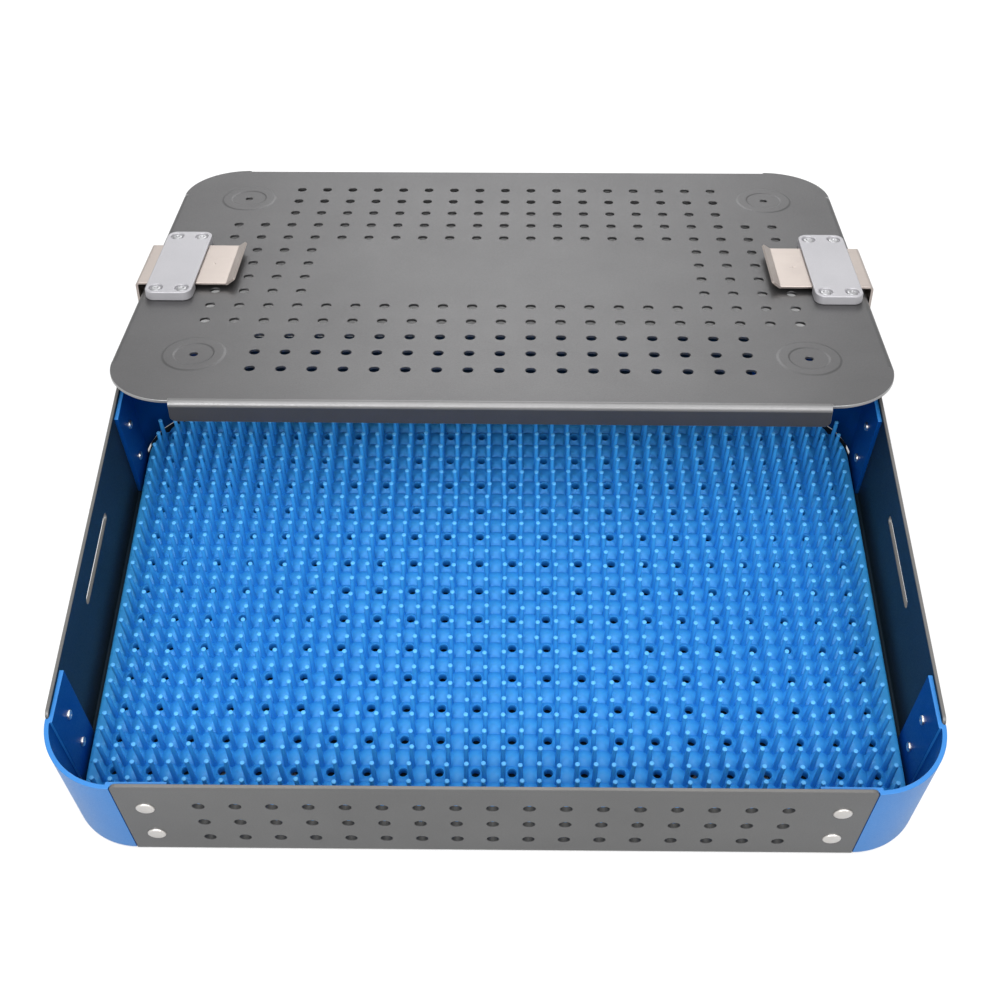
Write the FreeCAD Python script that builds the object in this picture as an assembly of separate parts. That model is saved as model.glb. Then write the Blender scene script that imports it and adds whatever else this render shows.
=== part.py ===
import FreeCAD, Part
import math
import os
from FreeCAD import Placement, Rotation, Vector

# Perforated aluminium instrument container: folded tray, four corner pieces,
# finger mat, and a lid with two sliding latches, leaning on the tray's rear wall.
# Millimetres. The origin is the middle of the tray's underside, +Z up, front towards -Y.

# Tray sheet
tray_length = 370.0
tray_depth = 248.0
tray_height = 60.5
tray_sheet = 1.5
fold_radius = 0.8
wall_tip_radius = 3.0
bend_facets = 3
tip_facets = 3

# Perforation of the front and rear walls and of the bottom
hole_diameter = 5.0
hole_sides = 4
wall_hole_pitch = 15.0
wall_hole_margin = 33.0
wall_hole_first = 13.1
wall_hole_top_margin = 14.0
bottom_hole_pitch = 60.0
bottom_hole_margin = 33.0

# Slots in the side walls that the latches hook into
slot_length = 50.0
slot_width = 4.5
slot_drop = 18.3

# Corner pieces
corner_size = 31.7
corner_wall = 2.0
corner_lap = 23.0
corner_step = 2.0
corner_top_drop = 1.9
corner_gap = 0.2
corner_facets = 8

# Rivets that hold the corner pieces in the walls
rivet_inset = 11.2
rivet_low = 16.7
rivet_high = 41.1
rivet_shank_radius = 2.2
rivet_head_radius = 3.9
rivet_head_height = 0.9
rivet_stand = 1.0
shank_sides = 4
head_sides = 6

# Finger mat: of the fingers, every second row and column stands in the solid
mat_side_gap = 1.6
mat_rear_gap = 6.7
mat_seat_gap = 0.3
mat_base = 6.0
mat_corner_radius = 27.0
finger_length = 17.2
finger_pitch = 8.0
finger_edge = 7.9
finger_foot_radius = 1.7
finger_tip_radius = 1.2
finger_sides = 3

# Lid sheet
lid_fit_gap = 2.5
lid_sheet = 1.5
lid_flange = 11.0
lid_bend_radius = 3.0
lid_corner = 35.0
lid_corner_inset = 1.0
lid_tip_radius = 3.0
lid_hole_pitch_x = 15.0
lid_hole_pitch_y = 15.3
lid_hole_margin_x = 38.5
lid_hole_margin_y = 28.0
lid_pattern_offset = 1.4
bare_columns = 13
bare_rows = 4
corner_bare_columns = 2
corner_bare_rows = 3
boss_hole_radius = 2.0
boss_inset_x = 39.6
boss_inset_y = 41.2

# Lid leaning on the rear wall with its rear flange on the table
lean_angle = 15.66
lid_skew = -0.62
lid_shift = 2.4
lean_gap = 0.3

# Latch blocks on the lid
block_width = 24.5
block_length = 69.0
block_height = 5.0
block_radius = 5.0
block_inset = 4.0
recess_radius = 3.5
recess_depth = 1.3
screw_spacing_x = 13.5
screw_spacing_y = 58.0
screw_head_radius = 2.9
screw_head_height = 1.0
screw_shank_radius = 1.5
screw_stand = 0.8

# Latch plates that slide under the blocks
latch_sheet = 1.2
latch_width = 42.6
latch_lift = 2.1
latch_bend_radius = 1.8
latch_clearance = 0.3
latch_side_gap = 0.4
latch_travel = 1.7
latch_inner_reach = 45.5
hook_bite = 2.0
lip_length = 5.3
lip_angle = 35.0
lip_chamfer = 3.0
dimple_radius = 1.6
dimple_from_lip = 10.5

half_length = tray_length / 2
half_depth = tray_depth / 2
lid_length = tray_length + 2 * (lid_fit_gap + lid_sheet)
lid_depth = tray_depth + 2 * (lid_fit_gap + lid_sheet)
corner_base = tray_sheet + fold_radius
corner_top = tray_height - corner_top_drop
rivet_heights = (rivet_low, rivet_high)


def polygon_prism(radius, sides, start, end):
    """A prism with a regular outline, from one axis point to another."""
    axis = (end - start).normalize()
    side = Vector(0, 0, 1) if abs(axis.z) < 0.5 else Vector(1, 0, 0)
    across = axis.cross(side).normalize()
    corners = []
    for n in range(sides):
        angle = 2 * math.pi * (n + 0.5) / sides
        corners.append(start + across * (radius * math.cos(angle)) + side * (radius * math.sin(angle)))
    return Part.Face(Part.makePolygon(corners + corners[:1])).extrude(end - start)


def arc_points(radius, centre, start, end, steps):
    """Points along an arc about a centre at height 0, between two angles in degrees."""
    turns = [math.radians(start + (end - start) * n / steps) for n in range(steps + 1)]
    return [centre + Vector(radius * math.cos(a), radius * math.sin(a), 0) for a in turns]


def rounded_rectangle(length, depth, radius, facets=6):
    """A rectangle about the Z axis with corners rounded in facets, as a wire."""
    x, y = length / 2 - radius, depth / 2 - radius
    points = []
    for n, (cx, cy) in enumerate(((x, y), (-x, y), (-x, -y), (x, -y))):
        points += arc_points(radius, Vector(cx, cy, 0), 90 * n, 90 * n + 90, facets)
    return Part.makePolygon(distinct(points + points[:1]))


def distinct(points):
    """The points without those that repeat the one before."""
    kept = points[:1]
    for p in points[1:]:
        if (p - kept[-1]).Length > 1e-6:
            kept.append(p)
    return kept


def count_in(space, pitch):
    """How many holes fit into a space at a pitch, first and last on its ends."""
    return int(space / pitch + 1e-6) + 1


def grid(count, pitch, centre=0.0):
    """Evenly spaced places about a centre."""
    return [centre + (n - (count - 1) / 2) * pitch for n in range(count)]


def folded_profile(height, radius, thickness, run):
    """Cross-section in YZ of a sheet that comes along +Y and folds up at y = 0, outer face at y = 0."""
    outer = radius + thickness
    centre = Vector(-outer, outer, 0)
    turn = arc_points(outer, centre, 270, 360, bend_facets)
    back = arc_points(radius, centre, 360, 270, bend_facets)
    points = [Vector(-run, 0, 0)] + turn + [Vector(0, height, 0), Vector(-thickness, height, 0)]
    points += back + [Vector(-run, thickness, 0)]
    points = [Vector(0, p.x, p.y) for p in distinct(points + points[:1])]
    return Part.Face(Part.makePolygon(points))


def folded_strip(length, height, radius, thickness, tip):
    """A folded strip along X whose outer face is at y = 0, with rounded free corners."""
    profile = folded_profile(height, radius, thickness, radius + thickness + 1.0)
    profile.translate(Vector(-length / 2, 0, 0))
    strip = profile.extrude(Vector(length, 0, 0))
    for side in (-1, 1):
        centre = Vector(length / 2 - tip, height - tip, 0)
        points = arc_points(tip, centre, 0, 90, tip_facets) + [centre + Vector(tip + 1, tip + 1, 0)]
        points = [Vector(side * q.x, 1, q.y) for q in points + points[:1]]
        strip = strip.cut(Part.Face(Part.makePolygon(points)).extrude(Vector(0, -thickness - 2, 0)))
    return strip


def to_side(shape, side, distance):
    """Turns a strip made for the rear (+Y) to one of four sides and moves it out."""
    turn = {"rear": 0, "left": 90, "front": 180, "right": 270}[side]
    placed = shape.copy()
    placed.translate(Vector(0, distance, 0))
    placed.rotate(Vector(0, 0, 0), Vector(0, 0, 1), turn)
    return placed


def mirrored(shape, x=False, y=False):
    """The same shape mirrored across the YZ or XZ plane, or both."""
    result = shape.copy()
    if x:
        result = result.mirror(Vector(0, 0, 0), Vector(1, 0, 0))
    if y:
        result = result.mirror(Vector(0, 0, 0), Vector(0, 1, 0))
    return result


def bottom_outline():
    """The bottom sheet inside the folds, with corners cut round inside the corner pieces."""
    inner = corner_size - corner_wall - 1.0
    edge = 2 * (corner_size - inner)
    return rounded_rectangle(tray_length - edge, tray_depth - edge, inner)


def make_tray_shell():
    """One folded sheet: perforated bottom, perforated front and rear, slotted sides."""
    front_length = tray_length - 2 * corner_size
    side_length = tray_depth - 2 * corner_size
    fold = tray_sheet + fold_radius

    outline = Part.Face(bottom_outline())
    for x in (-half_length, half_length - fold):
        outline = outline.cut(Part.makePlane(fold, side_length, Vector(x, -side_length / 2, 0)))
    for y in (-half_depth, half_depth - fold):
        outline = outline.cut(Part.makePlane(front_length, fold, Vector(-front_length / 2, y, 0)))
    shell = outline.extrude(Vector(0, 0, tray_sheet))

    front = folded_strip(front_length, tray_height, fold_radius, tray_sheet, wall_tip_radius)
    side = folded_strip(side_length, tray_height, fold_radius, tray_sheet, wall_tip_radius)
    columns = grid(count_in(front_length - 2 * wall_hole_margin, wall_hole_pitch), wall_hole_pitch)
    count = count_in(tray_height - wall_hole_first - wall_hole_top_margin, wall_hole_pitch)
    rows = [wall_hole_first + n * wall_hole_pitch for n in range(count)]
    cutters = [polygon_prism(hole_diameter / 2, hole_sides, Vector(x, 1, z), Vector(x, -tray_sheet - 1, z))
               for x in columns for z in rows]
    front = front.cut(Part.Compound(cutters + rivet_holes(front_length)))
    slot = rounded_rectangle(slot_length, slot_width, slot_width / 2, tip_facets)
    slot = Part.Face(slot).extrude(Vector(0, 0, tray_sheet + 2))
    slot.rotate(Vector(0, 0, 0), Vector(1, 0, 0), 90)
    slot.translate(Vector(0, 1, tray_height - slot_drop))
    side = side.cut(Part.Compound([slot] + rivet_holes(side_length)))

    walls = [to_side(front, "front", half_depth), to_side(front, "rear", half_depth),
             to_side(side, "left", half_length), to_side(side, "right", half_length)]
    shell = shell.fuse(walls).removeSplitter()
    drains = [polygon_prism(hole_diameter / 2, hole_sides, Vector(x, y, -1), Vector(x, y, tray_sheet + 1))
              for x in grid(even_count(tray_length), bottom_hole_pitch)
              for y in grid(even_count(tray_depth), bottom_hole_pitch)]
    return shell.cut(Part.Compound(drains)).Solids[0]


def even_count(length):
    """An even number of drain holes, so that the middle of the bottom stays whole."""
    return 2 * (count_in(length - 2 * bottom_hole_margin, bottom_hole_pitch) // 2)


def rivet_holes(wall_length):
    """Cutters for the rivet shanks at both ends of a wall made for the rear side."""
    return [polygon_prism(rivet_shank_radius, shank_sides, Vector(x * (wall_length / 2 - rivet_inset), 1, z),
                          Vector(x * (wall_length / 2 - rivet_inset), -tray_sheet - corner_wall - 1, z))
            for x in (-1, 1) for z in rivet_heights]


def make_corner():
    """The rear right corner: a quarter round flush with the walls, stepping in to two flanges."""
    c, w, s = corner_size, corner_wall, tray_sheet
    ox, oy = half_length, half_depth
    centre = Vector(ox - c, oy - c, 0)
    reach = c + corner_lap
    inner = c - w
    rise = math.degrees(math.asin(corner_step / inner))

    def at(x, y):
        return Vector(ox - c + x, oy - c + y, 0)

    gap = corner_gap
    start = math.degrees(math.asin(gap / c))
    flange = [at(c - s, gap), at(c - s, c - reach), at(c - s - w, c - reach), at(c - s - w, corner_step)]
    other = [at(p.y - centre.y, p.x - centre.x) for p in flange]
    outer = arc_points(c, centre, start, 90 - start, corner_facets)
    inside = arc_points(inner, centre, 90 - rise, rise, corner_facets)
    points = outer + other + inside + flange[::-1]
    face = Part.Face(Part.makePolygon(points + points[:1]))
    body = face.extrude(Vector(0, 0, corner_top - corner_base))
    body.translate(Vector(0, 0, corner_base))
    holes = [to_side(Part.Compound(rivet_holes(tray_length - 2 * c)), "rear", half_depth),
             to_side(Part.Compound(rivet_holes(tray_depth - 2 * c)), "right", half_length)]
    return body.cut(Part.Compound(holes)).Solids[0]


def make_rivet_pair(wall_length):
    """Two rivets at the +X end of a wall made for the rear side, flat head outside."""
    pair = []
    x = wall_length / 2 - rivet_inset
    grip = tray_sheet + corner_wall
    for z in rivet_heights:
        head = polygon_prism(rivet_head_radius, head_sides, Vector(x, 0, z), Vector(x, rivet_head_height, z))
        shank = polygon_prism(rivet_shank_radius, shank_sides, Vector(x, 0, z),
                              Vector(x, -grip - rivet_stand, z))
        pair.append(head.fuse(shank).Solids[0])
    return Part.Compound(pair)


def inside_rounded(x, y, half_x, half_y, radius):
    """Whether a point lies in a rounded rectangle about the origin."""
    over_x, over_y = abs(x) - (half_x - radius), abs(y) - (half_y - radius)
    if over_x > 0 and over_y > 0:
        return math.hypot(over_x, over_y) <= radius
    return over_x <= radius and over_y <= radius


def finger_places(length, depth):
    """Centres of the fingers: every second row and column counted in from each side."""
    columns = grid(count_in(length - 2 * finger_edge, finger_pitch), finger_pitch)
    rows = grid(count_in(depth - 2 * finger_edge, finger_pitch), finger_pitch)
    places = []
    for i, x in enumerate(columns):
        for j, y in enumerate(rows):
            if min(i, len(columns) - 1 - i) % 2 or min(j, len(rows) - 1 - j) % 2:
                continue
            if inside_rounded(x, y, length / 2 - finger_edge / 2, depth / 2 - finger_edge / 2,
                              mat_corner_radius - finger_edge / 2):
                places.append((x, y))
    return places


def make_finger(x, y, foot):
    """A finger that tapers from its foot to a flat tip."""
    def ring(radius, z):
        turns = [2 * math.pi * (n + 0.25) / finger_sides for n in range(finger_sides)]
        return [Vector(x + radius * math.cos(a), y + radius * math.sin(a), z) for a in turns]

    low, high = ring(finger_foot_radius, foot), ring(finger_tip_radius, foot + finger_length)
    faces = [Part.Face(Part.makePolygon(low + low[:1])), Part.Face(Part.makePolygon(high + high[:1]))]
    for n in range(finger_sides):
        m = (n + 1) % finger_sides
        faces.append(Part.Face(Part.makePolygon([low[n], low[m], high[m], high[n], low[n]])))
    return Part.makeSolid(Part.makeShell(faces))


def make_mat():
    """The mat's base plate and the fingers that stand on it."""
    wall = tray_sheet + corner_wall
    length = tray_length - 2 * (wall + mat_side_gap)
    depth = tray_depth - 2 * wall - mat_side_gap - mat_rear_gap
    bottom = tray_sheet + mat_seat_gap
    mat = Part.Face(rounded_rectangle(length, depth, mat_corner_radius)).extrude(Vector(0, 0, mat_base))
    fingers = [make_finger(x, y, mat_base) for x, y in finger_places(length, depth)]
    mat = mat.fuse(fingers)
    mat.translate(Vector(0, (mat_side_gap - mat_rear_gap) / 2, bottom))
    return mat.Solids[0]


def lid_hole_places():
    """Hole centres on the lid: a full grid, bare in the middle and at the four corners."""
    columns = count_in(lid_length - 2 * lid_hole_margin_x, lid_hole_pitch_x)
    rows = count_in(lid_depth - 2 * lid_hole_margin_y, lid_hole_pitch_y)
    places = []
    for i, x in enumerate(grid(columns, lid_hole_pitch_x)):
        for j, y in enumerate(grid(rows, lid_hole_pitch_y, lid_pattern_offset)):
            from_side = min(i, columns - 1 - i)
            from_end = min(j, rows - 1 - j)
            if from_side < corner_bare_columns and from_end < corner_bare_rows:
                continue
            if from_side >= (columns - bare_columns) // 2 and from_end >= (rows - bare_rows) // 2:
                continue
            places.append((x, y))
    return places


def screw_places(side):
    """Screw centres of the latch block on one side of the lid, -1 left and 1 right."""
    x = side * (lid_length / 2 - block_inset - block_width / 2)
    return [(x + i * screw_spacing_x / 2, lid_pattern_offset + j * screw_spacing_y / 2)
            for i in (-1, 1) for j in (-1, 1)]


def make_lid_sheet():
    """The lid as one sheet: perforated panel, round corners, four flanges bent down."""
    bend = lid_bend_radius
    panel = Part.Face(rounded_rectangle(lid_length - 2 * lid_corner_inset, lid_depth - 2 * lid_corner_inset,
                                        lid_corner - lid_corner_inset, corner_facets))
    side_length = lid_depth - 2 * lid_corner
    end_length = lid_length - 2 * lid_corner
    for x in (-1, 1):
        low = x * lid_length / 2 - (bend if x > 0 else 0)
        panel = panel.cut(Part.makePlane(bend, side_length, Vector(low, -side_length / 2, 0)))
    for y in (-1, 1):
        low = y * lid_depth / 2 - (bend if y > 0 else 0)
        panel = panel.cut(Part.makePlane(end_length, bend, Vector(-end_length / 2, low, 0)))
    sheet = panel.extrude(Vector(0, 0, lid_sheet))

    end = folded_strip(end_length, lid_flange, lid_bend_radius - lid_sheet, lid_sheet, lid_tip_radius)
    side = folded_strip(side_length, lid_flange, lid_bend_radius - lid_sheet, lid_sheet, lid_tip_radius)
    flanges = []
    for strip, name, distance in ((end, "front", lid_depth / 2), (end, "rear", lid_depth / 2),
                                  (side, "left", lid_length / 2), (side, "right", lid_length / 2)):
        flange = to_side(strip, name, distance)
        flange = flange.mirror(Vector(0, 0, lid_sheet / 2), Vector(0, 0, 1))
        flanges.append(flange)
    sheet = sheet.fuse(flanges).removeSplitter()

    cutters = [polygon_prism(hole_diameter / 2, hole_sides, Vector(x, y, -1), Vector(x, y, lid_sheet + 1))
               for x, y in lid_hole_places()]
    boss_x, boss_y = lid_length / 2 - boss_inset_x, lid_depth / 2 - boss_inset_y
    bosses = [(i * boss_x, j * boss_y + lid_pattern_offset) for i in (-1, 1) for j in (-1, 1)]
    cutters += [polygon_prism(boss_hole_radius, hole_sides, Vector(x, y, -1), Vector(x, y, lid_sheet + 1))
                for x, y in bosses]
    cutters += [polygon_prism(screw_shank_radius, shank_sides, Vector(x, y, -1), Vector(x, y, lid_sheet + 1))
                for side in (-1, 1) for x, y in screw_places(side)]
    return sheet.cut(Part.Compound(cutters)).Solids[0]


def make_block(side):
    """A latch block: rounded bar on the lid, with a channel under it and four screw recesses."""
    x = side * (lid_length / 2 - block_inset - block_width / 2)
    outline = rounded_rectangle(block_width, block_length, block_radius, tip_facets)
    block = Part.Face(outline).extrude(Vector(0, 0, block_height))
    block.translate(Vector(x, lid_pattern_offset, lid_sheet))
    channel_width = latch_width + 2 * latch_side_gap
    channel_height = latch_lift + latch_sheet + latch_clearance
    channel_start = Vector(x - block_width / 2 - 1, lid_pattern_offset - channel_width / 2, lid_sheet)
    cutters = [Part.makeBox(block_width + 2, channel_width, channel_height, channel_start)]
    top = lid_sheet + block_height
    for px, py in screw_places(side):
        cutters.append(polygon_prism(recess_radius, head_sides, Vector(px, py, top - recess_depth),
                                     Vector(px, py, top + 1)))
        cutters.append(polygon_prism(screw_shank_radius, shank_sides, Vector(px, py, lid_sheet - 1),
                                     Vector(px, py, top)))
    return block.cut(Part.Compound(cutters)).Solids[0]


def make_screws(side):
    """The four screws of one block, with heads in the recesses and ends just through the lid."""
    screws = []
    seat = lid_sheet + block_height - recess_depth
    for x, y in screw_places(side):
        head = polygon_prism(screw_head_radius, head_sides, Vector(x, y, seat),
                             Vector(x, y, seat + screw_head_height))
        shank = polygon_prism(screw_shank_radius, shank_sides, Vector(x, y, -screw_stand), Vector(x, y, seat))
        screws.append(head.fuse(shank).Solids[0])
    return Part.Compound(screws)


def make_latch_plate():
    """The right latch plate: finger lip inside, flat run, leg down outside, hook turned in."""
    under = lid_sheet + latch_lift
    over = under + latch_sheet
    leg_inner = lid_length / 2 + latch_clearance + latch_travel
    leg_outer = leg_inner + latch_sheet
    hook_tip = half_length - tray_sheet - hook_bite + latch_travel
    hook_mid = -slot_drop
    hook_low, hook_high = hook_mid - latch_sheet / 2, hook_mid + latch_sheet / 2
    r = latch_bend_radius
    ri = r - latch_sheet
    lip_x = lid_length / 2 - latch_inner_reach
    slope = math.radians(lip_angle)
    along = Vector(-math.cos(slope), 0, math.sin(slope))
    up = Vector(math.sin(slope), 0, math.cos(slope))
    low = Vector(lip_x, 0, under)
    lip_low = low + along * lip_length
    lip_high = lip_low + up * latch_sheet
    high = Vector(lip_x + latch_sheet * math.tan(slope / 2), 0, over)

    def bend(radius, height, start, end):
        centre = Vector(leg_outer - r, height, 0)
        return [Vector(q.x, 0, q.y) for q in arc_points(radius, centre, start, end, bend_facets)]

    points = [high] + bend(r, over - r, 90, 0) + bend(r, hook_low + r, 0, -90)
    points += [Vector(hook_tip, 0, hook_low), Vector(hook_tip, 0, hook_high)]
    points += bend(ri, hook_low + r, -90, 0) + bend(ri, over - r, 0, 90) + [low, lip_low, lip_high, high]
    face = Part.Face(Part.makePolygon(points))
    face.translate(Vector(0, lid_pattern_offset - latch_width / 2, 0))
    plate = face.extrude(Vector(0, latch_width, 0))

    tip_x = min(lip_low.x, lip_high.x) - 1
    taper = lip_chamfer * (lip_x - tip_x) / (lip_length * math.cos(slope))
    for side in (-1, 1):
        y = lid_pattern_offset + side * latch_width / 2
        wedge = [Vector(tip_x, y - side * taper, 0), Vector(lip_x, y, 0), Vector(tip_x, y + side, 0)]
        wedge = Part.Face(Part.makePolygon(wedge + wedge[:1]))
        plate = plate.cut(wedge.extrude(Vector(0, 0, over + lip_length + 1)))

    dimple_x = lip_x + dimple_from_lip
    depth = latch_lift - latch_clearance
    dimple_y = lid_pattern_offset
    bump = polygon_prism(dimple_radius, shank_sides, Vector(dimple_x, dimple_y, under),
                         Vector(dimple_x, dimple_y, under - depth))
    dent = polygon_prism(dimple_radius / 2, shank_sides, Vector(dimple_x, dimple_y, over + 1),
                         Vector(dimple_x, dimple_y, over - latch_sheet / 2))
    return plate.fuse(bump).cut(dent).Solids[0]


def lid_placement():
    """Where the lid lies: tilted back over the rear wall, its lowest flange corner on the table."""
    turn = Rotation(Vector(1, 0, 0), -lean_angle).multiply(Rotation(Vector(0, 0, 1), lid_skew))
    end = lid_length / 2 - lid_corner
    drop = lid_sheet - lid_flange
    tip = lid_tip_radius
    lowest = min(turn.multVec(Vector(x, lid_depth / 2, drop)).z for x in (tip - end, end - tip))
    lean = math.radians(lean_angle)
    z = -lowest
    y = half_depth + ((tray_height - z) * math.cos(lean) + lean_gap) / math.sin(lean)
    return Placement(Vector(lid_shift, y, z), turn)


def main():
    """Builds every piece in place and writes one file for each."""
    front_length = tray_length - 2 * corner_size
    side_length = tray_depth - 2 * corner_size
    parts = {"tray_shell": make_tray_shell(), "finger_mat": make_mat()}

    corner = make_corner()
    end_pair = to_side(make_rivet_pair(front_length), "rear", half_depth)
    side_pair = to_side(mirrored(make_rivet_pair(side_length), x=True), "right", half_length)
    for y_name, flip_y in (("rear", False), ("front", True)):
        for x_name, flip_x in (("right", False), ("left", True)):
            parts["corner_%s_%s" % (y_name, x_name)] = mirrored(corner, flip_x, flip_y)
            parts["rivets_%s_wall_%s" % (y_name, x_name)] = mirrored(end_pair, flip_x, flip_y)
            parts["rivets_%s_wall_%s" % (x_name, y_name)] = mirrored(side_pair, flip_x, flip_y)

    lid = {"lid_sheet": make_lid_sheet()}
    plate = make_latch_plate()
    for name, side in (("left", -1), ("right", 1)):
        lid["latch_block_" + name] = make_block(side)
        lid["latch_screws_" + name] = make_screws(side)
        lid["latch_plate_" + name] = mirrored(plate, x=side < 0)
    place = lid_placement()
    for name, shape in lid.items():
        moved = shape.copy()
        moved.Placement = place.multiply(moved.Placement)
        parts[name] = moved

    os.makedirs("parts", exist_ok=True)
    for name, shape in parts.items():
        shape.exportStep("parts/%s.step" % name)
        print("%-24s solids %d  volume %.0f" % (name, len(shape.Solids), shape.Volume))
    print("lid placement", place)


main()
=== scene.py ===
import math
import random

import bmesh
import bpy
from mathutils import Matrix, Vector
from mathutils.geometry import delaunay_2d_cdt


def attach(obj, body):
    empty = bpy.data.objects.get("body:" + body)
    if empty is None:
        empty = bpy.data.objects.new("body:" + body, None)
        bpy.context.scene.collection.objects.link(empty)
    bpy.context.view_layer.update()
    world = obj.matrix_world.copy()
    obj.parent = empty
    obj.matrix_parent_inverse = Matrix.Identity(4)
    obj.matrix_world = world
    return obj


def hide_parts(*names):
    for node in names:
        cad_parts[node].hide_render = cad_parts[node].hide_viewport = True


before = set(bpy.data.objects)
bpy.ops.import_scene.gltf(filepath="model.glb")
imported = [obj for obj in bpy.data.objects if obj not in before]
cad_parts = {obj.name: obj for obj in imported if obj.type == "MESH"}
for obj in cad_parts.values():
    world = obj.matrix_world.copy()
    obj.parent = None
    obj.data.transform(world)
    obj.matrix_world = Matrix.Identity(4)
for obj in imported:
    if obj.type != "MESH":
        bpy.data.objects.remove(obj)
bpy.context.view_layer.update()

# Perforated instrument container with its lid leaning on the rear wall.
# Shapes are worked out in millimetres and become metres in Build.object.

random.seed(4)

# Tray
TRAY = (370.0, 248.0, 60.5)
SHEET = 1.5
FOLD = 0.8  # inner radius
WALL_TIP = 3.0  # radius of each wall's upper corners
HOLE = 2.5  # radius of the wall holes, drains and lid holes
WALL_HOLES = (17, 3)
WALL_PITCH = 15.0
LOWEST_ROW = 13.1
PUNCH_RIM = 0.75
DRAINS = (11, 7)
DRAIN_PITCH = 30.0
SLOT = (50.0, 4.5, 42.2)  # length, height, middle above the table
CORNER = 31.7  # outer radius of the corner pieces
CORNER_WALL = 2.0
CORNER_LAP = 23.0
CORNER_STEP = 2.0
CORNER_Z = (2.3, 58.6)
CORNER_GAP = 0.35  # between the tray's bottom and a corner piece
CORNER_TUCK = 1.1  # how far the bottom reaches out again, under the corner piece
RIVET_INSET = 11.2
RIVET_Z = (16.7, 41.1)

# Mat
MAT_X = 179.9
MAT_Y = (-118.9, 113.8)
MAT_Z = (1.8, 7.8)
MAT_MIDDLE = (MAT_Y[0] + MAT_Y[1]) / 2
MAT_HALF_Y = (MAT_Y[1] - MAT_Y[0]) / 2
MAT_RADIUS = 27.0
MAT_UNDER = 3.3  # underside inside the rib
CELL = 8.0
FIRST_CELL_Y = -114.54
FIRST_FINGER = (-172.0, -110.54)
DOME = 1.35
TIP_Z = 25.0

# Lid, in its own frame: origin under the middle of its panel
LID = (378.0, 256.0)
LID_SHEET = 1.5
LID_SOFT = 0.2  # softening of its cut edges
FLANGE = 11.0
BEND = 3.0  # outer radius
LID_CORNER = 35.0
LID_HOLES = (21, 14)
LID_PITCH = (15.0, 15.3)
LID_OFFSET = 1.4  # of the holes, blocks and latches towards the rear
ROUNDEL = (149.4, 86.8)
ROUNDEL_HOLE = 2.0
RING_IN = (9.2, 10.3)
RING_OUT = (14.4, 15.9)
RING_HEIGHT = 0.35
LID_PLACE = (Matrix.Translation((2.4, 183.48, 44.137))
             @ Matrix.Rotation(math.radians(-15.66), 4, "X")
             @ Matrix.Rotation(math.radians(-0.62), 4, "Z"))
BLOCK = (24.5, 69.0, 5.0, 5.0)  # width, length, height, corner radius
BLOCK_X = LID[0] / 2 - 4 - BLOCK[0] / 2
SCREWS = (13.5, 58.0)
RECESS = (3.5, 1.3)  # radius, depth
PLATE_SHEET = 1.2
PLATE_WIDTH = 42.6
PLATE_LIFT = 2.1
PLATE_OUT = 1.7  # how far the latches stand out of their hooked place

# Surroundings, in metres and watts: name, place, diameter and power of each lamp
LAMPS = (("key", (-0.5, -0.95, 1.2), 1.0, 15), ("fill", (0.65, -0.85, 1.15), 1.0, 12),
         ("back", (0.0, 1.6, 0.7), 0.9, 6.5), ("top", (0.0, 0.1, 1.7), 1.3, 12))
LAMP_AIM = (0, 0.05, 0.02)
SKY_LIGHT = 0.42
SKY_SEEN = 1.0
FLOOR = (6000.0, -0.2)  # half its size and its height, in millimetres
CAMERA = (0.005885, -0.37054, 0.57491)
CAMERA_TURN = (36.025, 0.7015, 0.7968)
CAMERA_LENS = 50.97
CAMERA_SHIFT = (0.0175, 0.0297)


# ---------------------------------------------------------------- mesh helpers

HOLE_SIDES = 28
NEAR = 8.0  # size of the squares in which a triangle looks for holes


class Build:
    """Collects points and faces in millimetres, then makes one object of them."""

    def __init__(self):
        self.points, self.faces, self.kinds = [], [], []

    def add(self, points, faces, kind=0, at=None):
        base = len(self.points)
        for p in points:
            self.points.append(tuple(at @ Vector(p)) if at else tuple(p))
        self.faces += [tuple(i + base for i in f) for f in faces]
        self.kinds += [kind] * len(faces)

    def object(self, name, materials, place=None, angle=32.0, weld=0.002, flat=False):
        mesh = bpy.data.meshes.new(name)
        mesh.from_pydata(self.points, [], self.faces)
        mesh.polygons.foreach_set("material_index", self.kinds)
        bm = bmesh.new()
        bm.from_mesh(mesh)
        if weld:
            bmesh.ops.remove_doubles(bm, verts=bm.verts, dist=weld)
        bmesh.ops.recalc_face_normals(bm, faces=bm.faces)
        bm.to_mesh(mesh)
        bm.free()
        mesh.transform(Matrix.Scale(0.001, 4) @ (place or Matrix.Identity(4)))
        if place is not None and place.determinant() < 0:
            mesh.flip_normals()
        for m in materials:
            mesh.materials.append(m)
        mesh.polygons.foreach_set("use_smooth", [True] * len(mesh.polygons))
        mesh.set_sharp_from_angle(angle=math.radians(angle))
        obj = bpy.data.objects.new(name, mesh)
        bpy.context.scene.collection.objects.link(obj)
        if flat:
            even_normals(obj)
        return obj


def even_normals(obj):
    """Lets the large flat faces set the shading, so that they look flat."""
    mod = obj.modifiers.new("even", "WEIGHTED_NORMAL")
    mod.mode = "FACE_AREA"
    mod.weight = 100
    mod.keep_sharp = True
    apply_all(obj)


def bevel(obj, width, segments=3, angle=40.0):
    """Rounds the sharp edges of an object; width in millimetres."""
    mod = obj.modifiers.new("soft_edges", "BEVEL")
    mod.width = width * 0.001
    mod.segments = segments
    mod.limit_method = "ANGLE"
    mod.angle_limit = math.radians(angle)
    apply_all(obj)
    obj.data.polygons.foreach_set("use_smooth", [True] * len(obj.data.polygons))
    obj.data.set_sharp_from_angle(angle=math.radians(35))
    even_normals(obj)


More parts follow.
